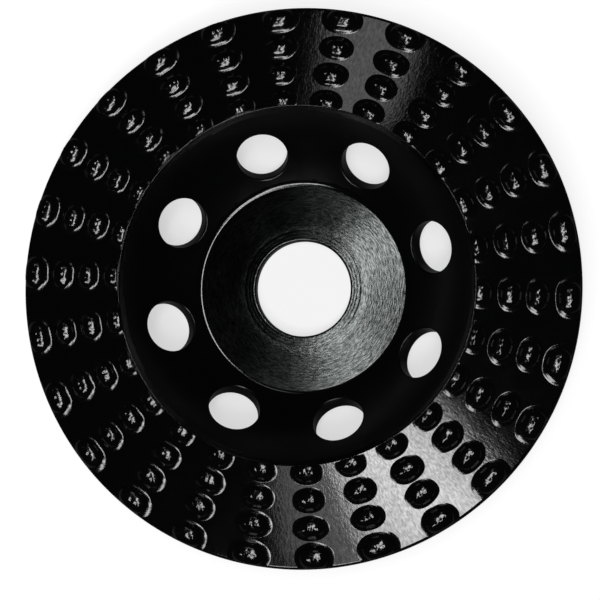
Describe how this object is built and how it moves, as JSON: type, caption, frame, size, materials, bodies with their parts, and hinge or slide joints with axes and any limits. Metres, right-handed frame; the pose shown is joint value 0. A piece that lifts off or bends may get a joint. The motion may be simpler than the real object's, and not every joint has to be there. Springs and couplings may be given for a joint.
{
  "type": "angle grinder carving disc",
  "caption": "Dished steel disc with a flat hub, spindle bore, round vents and radial rows of rough grit mounds on a sloping rim band, for carving wood with an angle grinder.",
  "frame": {"origin": "centre of the spindle bore, in the plane of the hub's back face, which seats on the grinder's flange", "axes": "+Z is the spindle axis, from the grinder towards the work; +X passes through the middle of a vent hole"},
  "size_m": [0.127, 0.127, 0.0189],
  "materials": {
    "black_steel": "gloss black plated steel, with a satin turned hub face",
    "black_grit": "rough brazed grit, gloss black"
  },
  "bodies": {
    "root": {"disc_body": "black_steel", "grit_row_01": "black_grit", "grit_row_02": "black_grit", "grit_row_03": "black_grit", "grit_row_04": "black_grit", "grit_row_05": "black_grit", "grit_row_06": "black_grit", "grit_row_07": "black_grit", "grit_row_08": "black_grit", "grit_row_09": "black_grit", "grit_row_10": "black_grit", "grit_row_11": "black_grit", "grit_row_12": "black_grit", "grit_row_13": "black_grit", "grit_row_14": "black_grit", "grit_row_15": "black_grit", "grit_row_16": "black_grit", "grit_row_17": "black_grit", "grit_row_18": "black_grit", "grit_row_19": "black_grit", "grit_row_20": "black_grit", "grit_row_21": "black_grit", "grit_row_22": "black_grit", "grit_row_23": "black_grit", "grit_row_24": "black_grit", "grit_row_25": "black_grit", "grit_row_26": "black_grit"}
  },
  "joints": []
}
